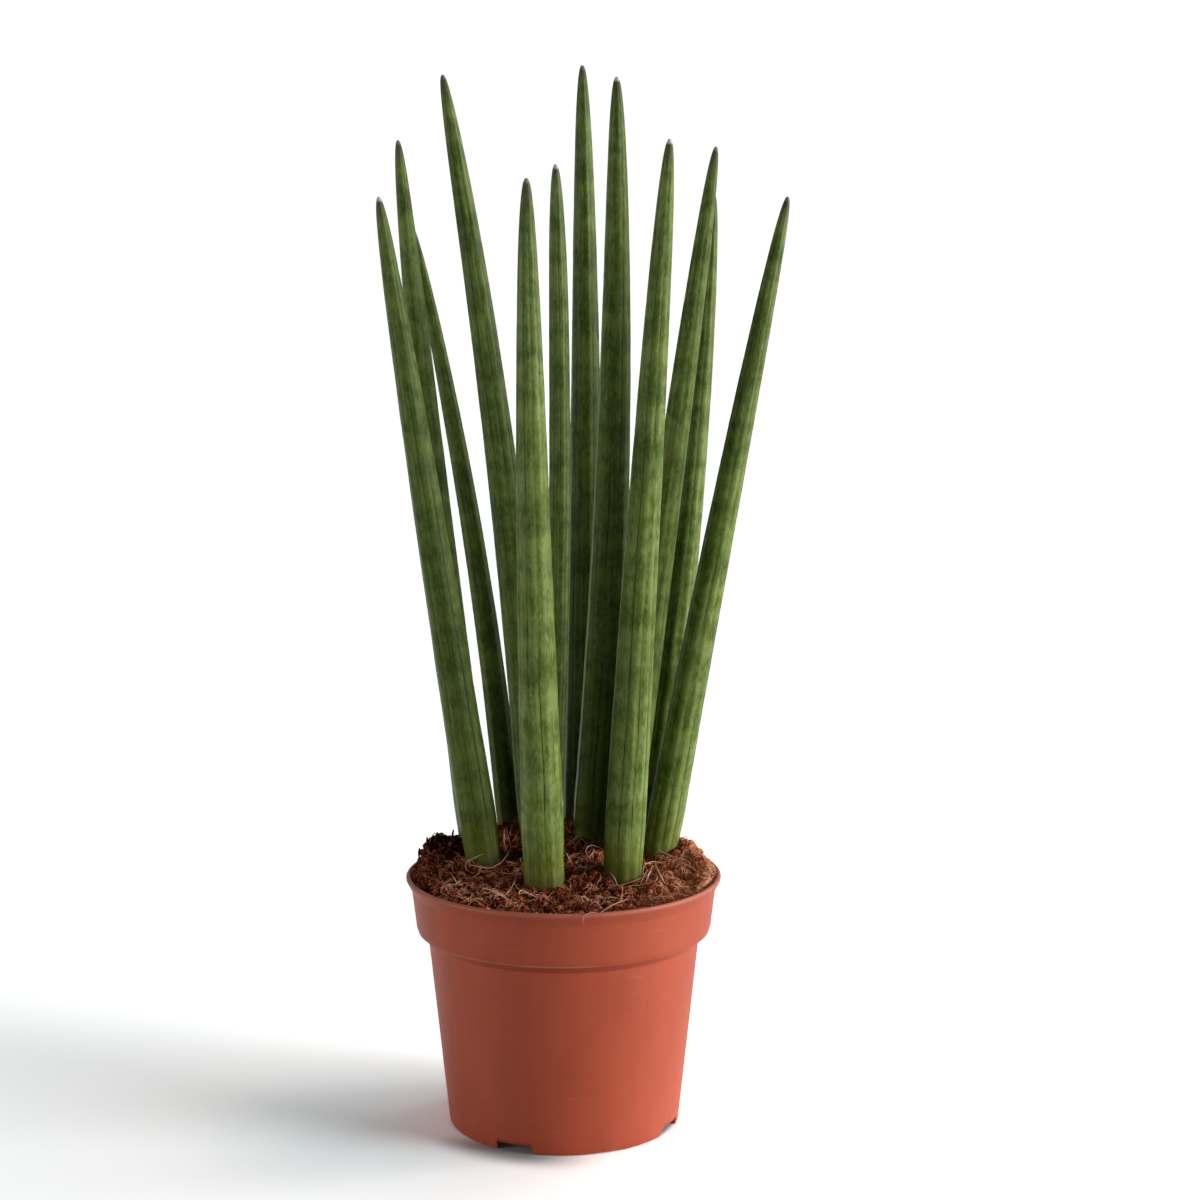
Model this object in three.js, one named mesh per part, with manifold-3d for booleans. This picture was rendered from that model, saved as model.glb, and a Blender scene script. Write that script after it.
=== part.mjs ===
// A cylindrical snake plant in its round nursery pot: twelve tapering spear leaves stand in heaped coir.
// Millimetres, +Z up, Z = 0 is the surface that the pot's foot stands on, and -Y is the plant's front.
import * as THREE from 'three';
import { mergeVertices } from 'three/addons/utils/BufferGeometryUtils.js';
import Module from 'manifold-3d';

// ---- Driving dimensions, in mm and degrees ----
const GAP = 0.3; // clearance between two pieces that touch
const POT_AXIS_X = -8; // the leaves reach further to +X, so the pot stands a little to -X of the middle

const POT_HEIGHT = 96;
const LIP_RADIUS = 60;
const LIP_HEIGHT = 2.6;
const LIP_WIDTH = 2;
const LIP_FLARE = 0.7; // the band swells this much just under the lip
const WALL = 1.2;
const BAND_TOP_RADIUS = 57.5;
const BAND_FOOT_RADIUS = 56;
const BAND_TOP = 90;
const BAND_FOOT = 76.8;
const STEP_FOOT = 71.8;
const STEP_EASE = 0.8; // softens the two bends of the step under the band
const BODY_TOP_RADIUS = 51.5;
const BASE_RADIUS = 43.9;
const FOOT_WIDTH = 2.4;
const FOOT_EDGE = 0.7; // bevel round the outside of the foot
const FLOOR_UNDERSIDE = 3.6;
const FLOOR_TOP = 4.9;
const POT_SIDES = 64;

const FOOT_NOTCH = { first: -24, count: 4, width: 14.8, height: 3.2, slant: 1.8 };
const FOOT_RELIEF = { first: 21, count: 4, width: 13, height: 1, slant: 1.8 };
const CUTTER_OVERRUN = 1; // how far a cutter starts below the foot
const DRAIN_HOLE = { first: 21, count: 8, radius: 3.5, circle: 33, sides: 12 };

const SOIL_LEVEL = 96.5; // height of the coir on the pot's axis, before its heaps
const SOIL_TILT = 0.07; // the coir lies lower at the front
const SOIL_EDGE_RADIUS = 56.1;
const SOIL_EDGE_WIDTH = 3.5; // the heaps die away over this width at the wall
const SOIL_EDGE_DROP = 1.4;
const SOIL_SIDES = 44;
const SOIL_RINGS = [54, 50, 45.5, 41, 36.5, 32, 27, 21.5, 16, 10, 5];
const HEAPS = [
  { at: [-9, 37], rise: 6.4, reach: 12 },
  { at: [-24, 34], rise: 3.6, reach: 9 },
  { at: [-48, 21], rise: 6.6, reach: 8 },
  { at: [9, 3], rise: 2.8, reach: 7 },
  { at: [11, 20], rise: 3.2, reach: 8 },
  { at: [47, 21], rise: 4, reach: 8 },
];
const LUMP_RISE = 0.9; // the small lumps between the heaps
const LUMP_REACH = 3.1;
const CRUMBS = { count: 44, smallest: 1.3, largest: 2.7, flattest: 0.6, proud: 0.15, circle: 51, seed: 11 };
const FIBRES = { count: 26, shortest: 10, longest: 24, bend: 0.25, circle: 50, seed: 29 };
const FIBRE_RADIUS = 0.55;
const FIBRE_RISE = 3.4; // the highest that a fibre arches over the coir
const FIBRE_SUNK = 1.6; // how deep its ends are rooted
const FIBRE_STEPS = 6;

const LEAF_FOOT_HEIGHT = 100; // the soil line that the leaves are measured from
const LEAF_BURIED = 24; // how far a leaf goes on below the soil line
const LEAF_BLUNT = 4; // its buried end is bevelled this much
const HOLE_CLEARANCE = 0.6; // all round a leaf, with few sides to the hole
const HOLE_SIDES = 12;
const HOLE_TOP = 24;
const LEAF_TAPER = 0.38; // thickness falls with this power of the distance to the tip
const CAP_POWER = 6; // how closely a slim leaf comes to the most that it may be
const LEAF_GROOVES = 10;
const GROOVE_DEPTH = 0.045; // as a share of the leaf's radius
const TIP_RINGS = [0.004, 0.015, 0.04, 0.085, 0.155, 0.25, 0.37, 0.52, 0.7, 0.93];
const LEAF_WAIST = 0.93; // a leaf is a little slimmer where it enters the soil
const ROLL_STEP = 137.5; // turns each leaf's grooves a different way

// foot: x, y at the soil line. tip: x, y, z. bow: how far the middle bulges to +X and +Y.
// thick: across the leaf at its foot. most: the thickness that a slim leaf stays under.
// x and y are measured from the pot's axis.
const LEAVES = [
  { foot: [-31, 10], tip: [-66.5, -6, 349], bow: [0, -1], thick: 15 },
  { foot: [-34.5, 28], tip: [-62, 28, 370.5], bow: [-1, 1], thick: 14.4 },
  { foot: [-21.5, 42.5], tip: [-59.5, 60, 339], bow: [4, 1], thick: 11 },
  { foot: [-10, 29], tip: [-45.5, 35, 395], bow: [3.8, 1], thick: 15.8 },
  { foot: [-7, -18], tip: [-12, -36, 355], bow: [-0.6, -2], thick: 16.4 },
  { foot: [-5.5, 8], tip: [-2.5, 5, 361], bow: [2.6, 0], thick: 15, most: 8.2 },
  { foot: [6.5, 47], tip: [7, 57, 400], bow: [1.4, 1], thick: 16 },
  { foot: [10.8, 27.5], tip: [20, 22, 393.5], bow: [3.2, 0], thick: 17.2 },
  { foot: [22.4, -9], tip: [38.5, -24, 369], bow: [-0.6, -1.5], thick: 16 },
  { foot: [21.5, 14], tip: [56.5, 10, 367.5], bow: [-0.4, 0], thick: 14.2 },
  { foot: [33.5, 35.5], tip: [57.5, 46, 351], bow: [2.8, 1], thick: 13.6 },
  { foot: [37, 19], tip: [84, 22, 349.5], bow: [-0.8, 0], thick: 14.2 },
];

const FINISH = {
  pot: { color: 0xb1573c, roughness: 0.5, metalness: 0 },
  soil: { color: 0x5a3220, roughness: 1, metalness: 0 },
  leaf: { color: 0x5b7a3a, roughness: 0.42, metalness: 0 },
};

const wasm = await Module();
wasm.setup();

// ---- Solids ----
function toSolid(geometry) {
  const bare = geometry.index ? geometry : mergeVertices(geometry);
  bare.deleteAttribute('normal');
  bare.deleteAttribute('uv');
  const merged = mergeVertices(bare, 1e-4);
  const vertProperties = new Float32Array(merged.getAttribute('position').array);
  const triVerts = new Uint32Array(merged.index.array);
  return new wasm.Manifold(new wasm.Mesh({ numProp: 3, vertProperties, triVerts }));
}

function toGeometry(solid) {
  const mesh = solid.getMesh();
  const geometry = new THREE.BufferGeometry();
  geometry.setAttribute('position', new THREE.BufferAttribute(mesh.vertProperties, mesh.numProp));
  geometry.setIndex(new THREE.BufferAttribute(mesh.triVerts, 1));
  geometry.computeVertexNormals();
  return geometry;
}

function largestBody(solid) {
  return solid.decompose().reduce((best, body) => (body.volume() > best.volume() ? body : best));
}

function piece(name, geometry, finish) {
  const mesh = new THREE.Mesh(geometry, new THREE.MeshStandardMaterial(finish));
  mesh.name = name;
  return mesh;
}

// A shape turned about Z from a profile of [radius, height] that starts and ends on the axis.
function turned(profile, sides) {
  const points = profile.map(([radius, height]) => new THREE.Vector2(radius, height));
  return new THREE.LatheGeometry(points, sides).rotateX(Math.PI / 2);
}

// Repeatable draws from 0 to 1.
function seededDraws(seed) {
  let state = seed;
  return () => {
    state = (state * 16807) % 2147483647;
    return state / 2147483647;
  };
}

// ---- Pot: a thin shell with a stepped band, a rolled lip, a raised floor and a foot ring ----
const LIP_UNDERSIDE = POT_HEIGHT - LIP_HEIGHT;

function bodyRadius(height) {
  return BASE_RADIUS + ((BODY_TOP_RADIUS - BASE_RADIUS) * height) / STEP_FOOT;
}

// The inside of the pot from its floor up to the lip.
const POT_INSIDE = [
  [bodyRadius(FLOOR_TOP) - WALL, FLOOR_TOP],
  [BODY_TOP_RADIUS - WALL, STEP_FOOT - 1],
  [BAND_FOOT_RADIUS - WALL, BAND_FOOT],
  [BAND_TOP_RADIUS - WALL + LIP_FLARE / 2, LIP_UNDERSIDE],
];

// The lip's rounded top, from its outside over to its inside.
function lipRoll() {
  const roll = LIP_WIDTH / 2;
  return [0, 45, 90, 135, 180].map((angle) => {
    const turn = THREE.MathUtils.degToRad(angle);
    return [LIP_RADIUS - roll + roll * Math.cos(turn), POT_HEIGHT - roll + roll * Math.sin(turn)];
  });
}

function potProfile() {
  return [
    [0, FLOOR_UNDERSIDE],
    [BASE_RADIUS - FOOT_WIDTH, FLOOR_UNDERSIDE],
    [BASE_RADIUS - FOOT_WIDTH, 0],
    [BASE_RADIUS - FOOT_EDGE, 0],
    [bodyRadius(FOOT_EDGE), FOOT_EDGE],
    [BODY_TOP_RADIUS, STEP_FOOT - STEP_EASE],
    [BODY_TOP_RADIUS + STEP_EASE / 2, STEP_FOOT],
    [BAND_FOOT_RADIUS - STEP_EASE / 2, BAND_FOOT - 2 * STEP_EASE],
    [BAND_FOOT_RADIUS, BAND_FOOT],
    [BAND_TOP_RADIUS, BAND_TOP],
    [BAND_TOP_RADIUS + LIP_FLARE, LIP_UNDERSIDE - 2 * LIP_FLARE],
    [LIP_RADIUS, LIP_UNDERSIDE + LIP_FLARE],
    ...lipRoll(),
    ...POT_INSIDE.toReversed(),
    [0, FLOOR_TOP],
  ];
}

// A gap through the foot ring: one side is upright and the other slants.
function footCutter({ width, height, slant }, angle, mirrored) {
  const half = width / 2;
  const side = mirrored ? -1 : 1;
  const low = -CUTTER_OVERRUN;
  const outline = [[-half, low], [half + slant / 2, low], [half - slant / 2, height], [-half, height]];
  const points = outline.map(([along, up]) => new THREE.Vector2(side * along, up));
  const shape = new THREE.Shape(mirrored ? points.reverse() : points);
  const cutter = new THREE.ExtrudeGeometry(shape, { depth: FOOT_WIDTH * 3, bevelEnabled: false });
  cutter.rotateX(Math.PI / 2);
  cutter.translate(0, FOOT_WIDTH * 2 - BASE_RADIUS, 0);
  cutter.rotateZ(THREE.MathUtils.degToRad(angle));
  return toSolid(cutter);
}

function drainHole({ radius, circle, sides }, angle) {
  const hole = new THREE.CylinderGeometry(radius, radius, POT_HEIGHT / 4, sides);
  hole.rotateX(Math.PI / 2);
  hole.translate(0, -circle, 0);
  hole.rotateZ(THREE.MathUtils.degToRad(angle));
  return toSolid(hole);
}

function eachAround({ first, count }, make) {
  return Array.from({ length: count }, (_, index) => make(first + (index * 360) / count, index));
}

function pot() {
  const shell = toSolid(turned(potProfile(), POT_SIDES));
  const cutters = [
    ...eachAround(FOOT_NOTCH, (angle, index) => footCutter(FOOT_NOTCH, angle, index % 2 === 1)),
    ...eachAround(FOOT_RELIEF, (angle) => footCutter(FOOT_RELIEF, angle, false)),
    ...eachAround(DRAIN_HOLE, (angle) => drainHole(DRAIN_HOLE, angle)),
  ];
  return piece('pot', toGeometry(cutters.reduce((left, cutter) => left.subtract(cutter), shell)), FINISH.pot);
}

// ---- Leaves: round spears, grooved lengthwise, gently bowed, with a needle tip and a blunt buried foot ----
function leafFrame({ foot, tip }) {
  const start = new THREE.Vector3(foot[0], foot[1], LEAF_FOOT_HEIGHT);
  const way = new THREE.Vector3(...tip).sub(start);
  const length = way.length();
  const turn = new THREE.Quaternion().setFromUnitVectors(new THREE.Vector3(0, 0, 1), way.normalize());
  return { start, turn, length };
}

// The radius at a share of the way from the tip to the soil line, held smoothly under the most it may be.
function leafRadius({ thick, most = Infinity }, share) {
  const tapered = thick * share ** LEAF_TAPER;
  return (tapered ** -CAP_POWER + most ** -CAP_POWER) ** (-1 / CAP_POWER) / 2;
}

// Bows an upright shape as the leaf is bowed: Z = 0 is the soil line and the tip is at Z = length.
function bowed(geometry, { bow }, length) {
  const position = geometry.getAttribute('position');
  for (let i = 0; i < position.count; i += 1) {
    const along = position.getZ(i) / length;
    const bulge = 4 * along * (1 - along);
    position.setX(i, position.getX(i) + bow[0] * bulge);
    position.setY(i, position.getY(i) + bow[1] * bulge);
  }
  return geometry;
}

function grooved(geometry, roll) {
  const position = geometry.getAttribute('position');
  for (let i = 0; i < position.count; i += 1) {
    const angle = Math.atan2(position.getY(i), position.getX(i));
    const inward = 1 - (GROOVE_DEPTH * (1 - Math.cos(LEAF_GROOVES * angle))) / 2;
    position.setX(i, position.getX(i) * inward);
    position.setY(i, position.getY(i) * inward);
  }
  return geometry.rotateZ(roll);
}

function leafPiece(leaf, index) {
  const { start, turn, length } = leafFrame(leaf);
  const waist = leafRadius(leaf, 1) * LEAF_WAIST;
  const end = -LEAF_BURIED;
  const foot = [[0, end], [waist - LEAF_BLUNT / 2, end], [waist, end + LEAF_BLUNT], [waist, 0]];
  const spear = TIP_RINGS.map((share) => [leafRadius(leaf, share), length * (1 - share)]);
  const outline = turned([...foot, ...spear.reverse(), [0, length]], 2 * LEAF_GROOVES);
  const ribbed = grooved(outline, THREE.MathUtils.degToRad(index * ROLL_STEP));
  const geometry = toGeometry(toSolid(bowed(ribbed, leaf, length)));
  const mesh = piece(`leaf_${String(index + 1).padStart(2, '0')}`, geometry, FINISH.leaf);
  mesh.position.copy(start);
  mesh.quaternion.copy(turn);
  return mesh;
}

// The plain hole that a leaf stands in, which goes on above the soil line to clear the heaps and fibres.
function leafHole(leaf) {
  const { start, turn, length } = leafFrame(leaf);
  const radius = leafRadius(leaf, 1) + HOLE_CLEARANCE;
  const end = -LEAF_BURIED - GAP;
  const outline = [[0, end], [radius, end], [radius, 0], [radius, HOLE_TOP], [0, HOLE_TOP]];
  const hole = turned(outline, HOLE_SIDES);
  bowed(hole, leaf, length).applyQuaternion(turn).translate(start.x, start.y, start.z);
  return toSolid(hole);
}

// ---- Soil: coir that fills the pot, heaped between the leaves, with its crumbs and fibres ----
function soilHeight(x, y) {
  const out = Math.hypot(x, y);
  const edge = THREE.MathUtils.smoothstep(out, SOIL_EDGE_RADIUS - SOIL_EDGE_WIDTH, SOIL_EDGE_RADIUS);
  const heaped = HEAPS.reduce((sum, { at, rise, reach }) => {
    const away = Math.hypot(x - at[0], y - at[1]) / reach;
    return sum + rise * Math.exp(-(away ** 2) / 2);
  }, 0);
  const lumps = LUMP_RISE * Math.sin(x / LUMP_REACH) * Math.sin((y + x / 2) / LUMP_REACH);
  return SOIL_LEVEL + SOIL_TILT * y + (heaped + lumps) * (1 - edge) - SOIL_EDGE_DROP * edge;
}

function soilBody() {
  const inset = 1.5 * GAP; // leaves the pot's slanted wall clear by more than the gap
  const side = POT_INSIDE.slice(0, -1).map(([radius, height]) => [radius - inset, height + GAP]);
  side.unshift([0, FLOOR_TOP + GAP]);
  const top = [SOIL_EDGE_RADIUS, ...SOIL_RINGS, 0].map((radius) => [radius, SOIL_LEVEL]);
  const geometry = turned([...side, ...top], SOIL_SIDES);
  const position = geometry.getAttribute('position');
  const rings = side.length + top.length;
  for (let i = 0; i < position.count; i += 1) {
    const onTop = i % rings >= side.length;
    if (onTop) position.setZ(i, soilHeight(position.getX(i), position.getY(i)));
  }
  return toSolid(geometry);
}

function crumbs() {
  const draw = seededDraws(CRUMBS.seed);
  return Array.from({ length: CRUMBS.count }, () => {
    const radius = CRUMBS.smallest + (CRUMBS.largest - CRUMBS.smallest) * draw() ** 2;
    const [angle, out] = [draw() * 2 * Math.PI, CRUMBS.circle * Math.sqrt(draw())];
    const [x, y] = [out * Math.cos(angle), out * Math.sin(angle)];
    const crumb = new THREE.IcosahedronGeometry(radius, 0);
    const flatness = () => CRUMBS.flattest + (1 - CRUMBS.flattest) * draw();
    crumb.scale(1, flatness(), flatness());
    crumb.rotateZ(draw() * Math.PI);
    crumb.translate(x, y, soilHeight(x, y) + radius * CRUMBS.proud);
    return toSolid(crumb);
  });
}

function fibres() {
  const draw = seededDraws(FIBRES.seed);
  const corners = [0, 1, 2].map((index) => {
    const turn = (index * 2 * Math.PI) / 3;
    return new THREE.Vector2(FIBRE_RADIUS * Math.cos(turn), FIBRE_RADIUS * Math.sin(turn));
  });
  const section = new THREE.Shape(corners);
  const wall = SOIL_EDGE_RADIUS - SOIL_EDGE_WIDTH / 2;
  return Array.from({ length: FIBRES.count }, () => {
    const [angle, out] = [draw() * 2 * Math.PI, FIBRES.circle * Math.sqrt(draw())];
    const heading = draw() * 2 * Math.PI;
    const length = FIBRES.shortest + (FIBRES.longest - FIBRES.shortest) * draw() ** 2;
    const bend = FIBRES.bend * length * (2 * draw() - 1);
    const rise = (FIBRE_RISE * (1 + draw())) / 2;
    const route = [[-length / 2, 0, -FIBRE_SUNK], [-length / 5, bend, rise], [length / 5, bend, rise * 0.8],
      [length / 2, 0, -FIBRE_SUNK]];
    const points = route.map(([forward, aside, up]) => {
      const flat = new THREE.Vector2(forward, aside).rotateAround(new THREE.Vector2(), heading);
      flat.add(new THREE.Vector2(out * Math.cos(angle), out * Math.sin(angle))).clampLength(0, wall);
      return new THREE.Vector3(flat.x, flat.y, soilHeight(flat.x, flat.y) + up);
    });
    const extrudePath = new THREE.CatmullRomCurve3(points);
    const sweep = { steps: FIBRE_STEPS, extrudePath, bevelEnabled: false };
    return toSolid(new THREE.ExtrudeGeometry(section, sweep));
  });
}

function soil() {
  const filled = [...crumbs(), ...fibres()].reduce((whole, part) => whole.add(part), soilBody());
  const planted = LEAVES.map(leafHole).reduce((left, hole) => left.subtract(hole), filled);
  return piece('soil', toGeometry(largestBody(planted)), FINISH.soil);
}

// ---- The plant ----
const plant = new THREE.Group();
plant.position.x = POT_AXIS_X;
plant.add(pot(), soil(), ...LEAVES.map(leafPiece));

const model = new THREE.Group();
model.add(plant);

export default model;
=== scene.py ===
# A cylindrical snake plant in its round nursery pot. Metres, +Z up, with the front towards -Y.
import math
import random

import bmesh
import bpy
from mathutils import Matrix, Vector, noise


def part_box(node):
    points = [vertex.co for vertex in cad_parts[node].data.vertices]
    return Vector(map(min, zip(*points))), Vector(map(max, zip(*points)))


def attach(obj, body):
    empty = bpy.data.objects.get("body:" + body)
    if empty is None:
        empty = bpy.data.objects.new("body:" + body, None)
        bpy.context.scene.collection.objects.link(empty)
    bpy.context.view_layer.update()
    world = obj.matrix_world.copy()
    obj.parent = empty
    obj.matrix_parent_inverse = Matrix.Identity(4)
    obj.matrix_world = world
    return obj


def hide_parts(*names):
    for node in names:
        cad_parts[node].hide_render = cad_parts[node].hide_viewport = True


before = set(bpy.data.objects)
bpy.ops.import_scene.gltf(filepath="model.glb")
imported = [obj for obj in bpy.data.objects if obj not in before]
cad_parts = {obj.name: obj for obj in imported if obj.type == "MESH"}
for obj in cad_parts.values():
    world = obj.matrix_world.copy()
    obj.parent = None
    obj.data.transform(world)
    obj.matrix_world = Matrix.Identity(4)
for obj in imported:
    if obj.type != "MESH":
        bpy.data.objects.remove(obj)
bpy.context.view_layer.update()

# ---- Pot -----------------------------------------------------------------------------------------
# A round nursery pot, injection moulded in one piece from terracotta-coloured polypropylene 1.2 mm
# thick. A rolled lip and a tall band stiffen its mouth, and it stands on a foot ring with four gaps
# and four low arches, under a raised floor with drain holes.
MM = 0.001
SAME_PLACE = 1e-6
pot_low, pot_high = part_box("pot")
POT_AXIS = Vector(((pot_low.x + pot_high.x) / 2, (pot_low.y + pot_high.y) / 2, 0))
POT_HEIGHT = pot_high.z / MM
LIP_RADIUS = (pot_high.x - pot_low.x) / 2 / MM
BASE_RADIUS = 43.9
FOOT_WIDTH = 2.4
FLOOR_UNDERSIDE = 3.6
FLOOR_TOP = 4.9
INNER_BEND_RADIUS = 56.9
INNER_BEND_HEIGHT = 93.2
POT_STEPS = 224

# Radius, height and bend of each corner, in mm, from the middle of the floor's underside, out and
# up over the lip, and down the inside.
POT_CORNERS = [
    (0, FLOOR_UNDERSIDE, 0), (BASE_RADIUS - FOOT_WIDTH, FLOOR_UNDERSIDE, 0.6),
    (BASE_RADIUS - FOOT_WIDTH, 0, 0.4), (BASE_RADIUS, 0, 0.8), (51.45, 71.8, 0.7),
    (55.1, 74.9, 0.15), (55.34, 74.86, 0.08), (55.4, 75.1, 0.1), (55.95, 76.8, 2.2),
    (57.6, 91, 4), (59.5, 94.3, 1.4), (LIP_RADIUS, POT_HEIGHT, 0.9), (58.1, POT_HEIGHT, 0.9),
    (INNER_BEND_RADIUS, INNER_BEND_HEIGHT, 1.4), (54.8, 76.6, 2.2), (50.3, 70.6, 2.2),
    (43.2, FLOOR_TOP, 1), (0, FLOOR_TOP, 0),
]
# Bearings in degrees and sizes in mm.
FOOT_NOTCH = {"first": -24, "width": 14.8, "height": 3.2, "slant": 1.8}
FOOT_ARCH = {"first": 21, "width": 13, "height": 0.6, "slant": 1.8}
DRAIN_HOLE = {"first": 21, "count": 8, "radius": 3.5, "circle": 33, "steps": 28}


def rounded(corners, longest=4.0, bend_steps=6):
    """The points of a profile: each corner becomes an arc, and long straight runs are divided."""
    points = []
    for i, (radius, height, bend) in enumerate(corners):
        here = Vector((radius, height))
        if bend == 0:
            points.append(here)
            continue
        back = (Vector(corners[i - 1][:2]) - here).normalized()
        onward = (Vector(corners[i + 1][:2]) - here).normalized()
        half = back.angle(onward) / 2
        middle = (back + onward).normalized() * bend / math.sin(half)
        start = back * bend / math.tan(half) - middle
        end = onward * bend / math.tan(half) - middle
        for step in range(bend_steps + 1):
            points.append(here + middle + start.slerp(end, step / bend_steps) * bend)
    run = [points[0]]
    for point in points[1:]:
        first = run[-1]
        pieces = max(1, math.ceil((point - first).length / longest))
        run += [first.lerp(point, (k + 1) / pieces) for k in range(pieces)]
    return run


def turned(profile, steps):
    """A closed mesh turned about the upright axis, from (radius, height) points in mm."""
    bm = bmesh.new()
    verts = [bm.verts.new(Vector((radius, 0, height)) * MM) for radius, height in profile]
    edges = [bm.edges.new(pair) for pair in zip(verts, verts[1:])]
    bmesh.ops.spin(bm, geom=verts + edges, cent=(0, 0, 0), axis=(0, 0, 1), angle=2 * math.pi,
                   steps=steps, use_merge=True)
    bmesh.ops.remove_doubles(bm, verts=bm.verts, dist=SAME_PLACE)
    bmesh.ops.recalc_face_normals(bm, faces=bm.faces)
    return bm


def new_piece(name, bm, finish):
    """A finished mesh as an object of the scene, with its material."""
    mesh = bpy.data.meshes.new(name)
    bm.to_mesh(mesh)
    bm.free()
    mesh.shade_smooth()
    piece = bpy.data.objects.new(name, mesh)
    bpy.context.scene.collection.objects.link(piece)
    mesh.materials.append(finish)
    return piece


def settled(piece):
    """The piece's mesh as its modifiers or its curve make it, for good."""
    bpy.context.view_layer.update()
    graph = bpy.context.evaluated_depsgraph_get()
    return bpy.data.meshes.new_from_object(piece.evaluated_get(graph), depsgraph=graph)


def cut(piece, cutter):
    """Takes the cutter's space out of the piece, and removes the cutter."""
    tool = piece.modifiers.new("cut", "BOOLEAN")
    tool.operation = "DIFFERENCE"
    tool.solver = "EXACT"
    tool.object = cutter
    mesh = settled(piece)
    piece.modifiers.clear()
    piece.data = mesh
    bpy.data.objects.remove(cutter)


def foot_cutter(bm, plan, quarter, side):
    """One gap under the foot ring. The wall on its side, +1 or -1, slants, the other is upright."""
    made = bmesh.ops.create_cube(bm, size=1)["verts"]
    over = 1
    for vert in made:
        along, out, up = vert.co
        lean = -side * plan["slant"] * up if along * side > 0 else 0
        vert.co = Vector((along * plan["width"] + lean, out * 4 * FOOT_WIDTH - BASE_RADIUS,
                          (up + 0.5) * (plan["height"] + over) - over)) * MM
    around = Matrix.Rotation(math.radians(plan["first"] + 90 * quarter), 4, "Z")
    bmesh.ops.transform(bm, matrix=around, verts=made)


class Signal:
    """What a node in a material gives out. Python's operators on it add Math nodes."""

    def __init__(self, tree, socket=None):
        self.tree = tree
        self.socket = socket

    def node(self, kind, settings=None, inputs=None, output=0):
        """A new node: its settings are set first, then the values or signals of its inputs."""
        made = self.tree.nodes.new(kind)
        for name, value in (settings or {}).items():
            setattr(made, name, value)
        for name, value in (inputs or {}).items():
            if isinstance(value, Signal):
                self.tree.links.new(value.socket, made.inputs[name])
            else:
                made.inputs[name].default_value = value
        return Signal(self.tree, made.outputs[output])

    def math(self, operation, *values):
        return self.node("ShaderNodeMath", {"operation": operation}, dict(enumerate(values)))

    def __add__(self, other):
        return self.math("ADD", self, other)

    def __sub__(self, other):
        return self.math("SUBTRACT", self, other)

    def __rsub__(self, other):
        return self.math("SUBTRACT", other, self)

    def __mul__(self, other):
        return self.math("MULTIPLY", self, other)

    def __neg__(self):
        return self.math("MULTIPLY", self, -1)

    __radd__ = __add__
    __rmul__ = __mul__

    def ease(self, low, high):
        """0 up to low, 1 from high on, and a smooth rise between. Low may be the larger one."""
        risen = self.node("ShaderNodeMapRange", {"interpolation_type": "SMOOTHSTEP"},
                          {"Value": self, "From Min": min(low, high), "From Max": max(low, high)})
        return risen if low < high else 1 - risen

    def stretched(self, x, y, z):
        """A place, scaled along each axis."""
        return self.node("ShaderNodeVectorMath", {"operation": "MULTIPLY"}, {0: self, 1: (x, y, z)})

    def moved(self, up):
        """A place, moved along Z."""
        offset = self.node("ShaderNodeCombineXYZ", {}, {"Z": up})
        return self.node("ShaderNodeVectorMath", {"operation": "ADD"}, {0: self, 1: offset})

    def grain(self, scale, detail=3.0, rough=0.5):
        """Soft noise about 0.5, at a place."""
        return self.node("ShaderNodeTexNoise", {}, {"Vector": self, "Scale": scale,
                                                    "Detail": detail, "Roughness": rough})

    def mix(self, without, full):
        """From one colour to another, by this signal."""
        return self.node("ShaderNodeMix", {"data_type": "RGBA"}, {0: self, 6: without, 7: full}, 2)

    def parts(self):
        """The three numbers of a place."""
        made = self.node("ShaderNodeSeparateXYZ", {}, {"Vector": self})
        return [Signal(self.tree, made.socket.node.outputs[axis]) for axis in range(3)]

    def bumped(self, distance, strength=1.0):
        """A surface normal that follows this height."""
        return self.node("ShaderNodeBump", {}, {"Height": self, "Distance": distance,
                                                "Strength": strength})


def new_finish(name, **fixed):
    """A material with its shader's fixed values set, and a signal to start its nodes from."""
    finish = bpy.data.materials.new(name)
    finish.use_nodes = True
    shader = finish.node_tree.nodes["Principled BSDF"]
    for socket, value in fixed.items():
        shader.inputs[socket.replace("_", " ")].default_value = value
    return finish, Signal(finish.node_tree)


def dress(finish, **signals):
    """Links signals to the shader's sockets."""
    tree = finish.node_tree
    shader = tree.nodes["Principled BSDF"]
    for socket, signal in signals.items():
        tree.links.new(signal.socket, shader.inputs[socket.replace("_", " ")])


PLASTIC_DEEP = (0.52, 0.084, 0.035, 1)
PLASTIC_FAIR = (0.59, 0.102, 0.043, 1)
PLASTIC_FLOW = (0.62, 0.134, 0.062, 1)
LIP_PAINTED_HIGHLIGHT = (0.66, 0.24, 0.16, 1)
MOULD_LINE_PAINTED_HIGHLIGHT = (0.72, 0.3, 0.2, 1)
PALE_SCUFF = (0.66, 0.27, 0.19, 1)
PALE_SCRATCH = (0.72, 0.34, 0.24, 1)
BROWN_DUST = (0.25, 0.07, 0.045, 1)
# In mm: how far below the lip's top its painted highlight reaches, and the heights between which
# the mould line's painted highlight shows.
LIP_FADE = (2.2, 0.2)
MOULD_LINE_LOW = (74.7, 74.95)
MOULD_LINE_HIGH = (75.6, 75.25)


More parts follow.
